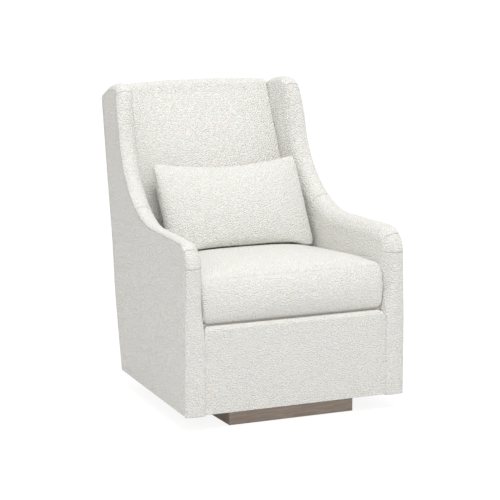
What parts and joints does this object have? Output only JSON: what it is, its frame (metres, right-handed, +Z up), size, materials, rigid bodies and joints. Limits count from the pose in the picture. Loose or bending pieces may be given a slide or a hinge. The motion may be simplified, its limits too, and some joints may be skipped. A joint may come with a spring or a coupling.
{
  "type": "glider chair",
  "caption": "Upholstered wing-arm glider chair: boucle shell, loose seat cushion and lumbar pillow, carried on swinging links and a swivel over a recessed oak plinth.",
  "frame": {"origin": "on the floor, on the swivel axis in the middle of the plinth", "axes": "+Z up, the sitter faces -Y, and -X is the side on the left as seen from in front"},
  "size_m": [0.7294, 0.8637, 0.9915],
  "materials": {
    "boucle_fabric": "off-white looped boucle weave, matte",
    "grey_oak": "grey-brown brushed oak with level grain, matte",
    "frame_wood": "plain sanded plywood and softwood, inside the chair",
    "black_steel": "black powder coat, satin",
    "bare_steel": "zinc-plated steel",
    "nylon": "natural nylon",
    "stop_rubber": "black rubber, matte",
    "deck_cloth": "plain off-white lining cloth"
  },
  "bodies": {
    "base": {"plinth_front_board": "grey_oak", "plinth_rear_board": "grey_oak", "plinth_left_board": "grey_oak", "plinth_right_board": "grey_oak", "plinth_top_panel": "frame_wood", "plinth_centre_brace": "frame_wood", "plinth_corner_blocks": "frame_wood", "swivel_lower_plate": "black_steel", "swivel_plate_bolts": "bare_steel", "swivel_spindle": "bare_steel", "swivel_thrust_ring": "nylon", "spindle_washer": "bare_steel", "spindle_nut": "bare_steel"},
    "carriage": {"swivel_upper_plate": "black_steel", "left_link_stand": "black_steel", "right_link_stand": "black_steel", "stand_bolts": "bare_steel", "stand_tie_rods": "black_steel", "upper_pivot_pins": "bare_steel", "pin_retaining_rings": "bare_steel", "stop_bumpers": "stop_rubber"},
    "front_links": {"front_left_link": "black_steel", "front_right_link": "black_steel", "front_link_bushes": "nylon"},
    "rear_links": {"rear_left_link": "black_steel", "rear_right_link": "black_steel", "rear_link_bushes": "nylon"},
    "chair": {"left_glide_bracket": "black_steel", "right_glide_bracket": "black_steel", "lower_pivot_pins": "bare_steel", "bracket_bolts": "bare_steel", "left_glide_rail": "frame_wood", "right_glide_rail": "frame_wood", "seat_front_rail": "frame_wood", "seat_rear_rail": "frame_wood", "rear_foot_rail": "frame_wood", "seat_corner_blocks": "frame_wood", "seat_springs": "bare_steel", "seat_spring_clips": "nylon", "seat_deck": "deck_cloth", "left_side_frame": "frame_wood", "right_side_frame": "frame_wood", "left_side_panel": "boucle_fabric", "right_side_panel": "boucle_fabric", "left_arm_band": "boucle_fabric", "right_arm_band": "boucle_fabric", "left_inner_arm_pad": "boucle_fabric", "right_inner_arm_pad": "boucle_fabric", "front_apron": "boucle_fabric", "back_top_rail": "frame_wood", "back_lower_rail": "frame_wood", "back_springs": "bare_steel", "back_spring_clips": "nylon", "inside_back_pad": "boucle_fabric", "back_top_roll": "boucle_fabric", "outside_back_panel": "boucle_fabric"},
    "seat_cushion": {"seat_cushion": "boucle_fabric"},
    "lumbar_pillow": {"lumbar_pillow": "boucle_fabric"}
  },
  "joints": [
    {"name": "swivel", "type": "hinge", "parent": "base", "child": "carriage", "pos_m": [0, 0, 0.065], "axis": [0, 0, 1], "continuous": true},
    {"name": "glide", "type": "hinge", "parent": "carriage", "child": "rear_links", "pos_m": [0, 0.09, 0.195], "axis": [1, 0, 0], "range_deg": [-30, 30]},
    {"name": "chair_level", "type": "hinge", "parent": "rear_links", "child": "chair", "pos_m": [0, 0.09, 0.08], "axis": [1, 0, 0], "range_deg": [-30, 30]},
    {"name": "front_link_swing", "type": "hinge", "parent": "carriage", "child": "front_links", "pos_m": [0, -0.09, 0.195], "axis": [1, 0, 0], "range_deg": [-30, 30]},
    {"name": "cushion_slide", "type": "slide", "parent": "chair", "child": "seat_cushion", "axis": [0, -0.998, 0.0628], "range_m": [0, 0.56]},
    {"name": "pillow_lift", "type": "slide", "parent": "chair", "child": "lumbar_pillow", "axis": [0, 0, 1], "range_m": [0, 0.56]}
  ],
  "couplings": [
    {"joint": "chair_level", "follows": "glide", "ratio": -1},
    {"joint": "front_link_swing", "follows": "glide", "ratio": 1}
  ]
}
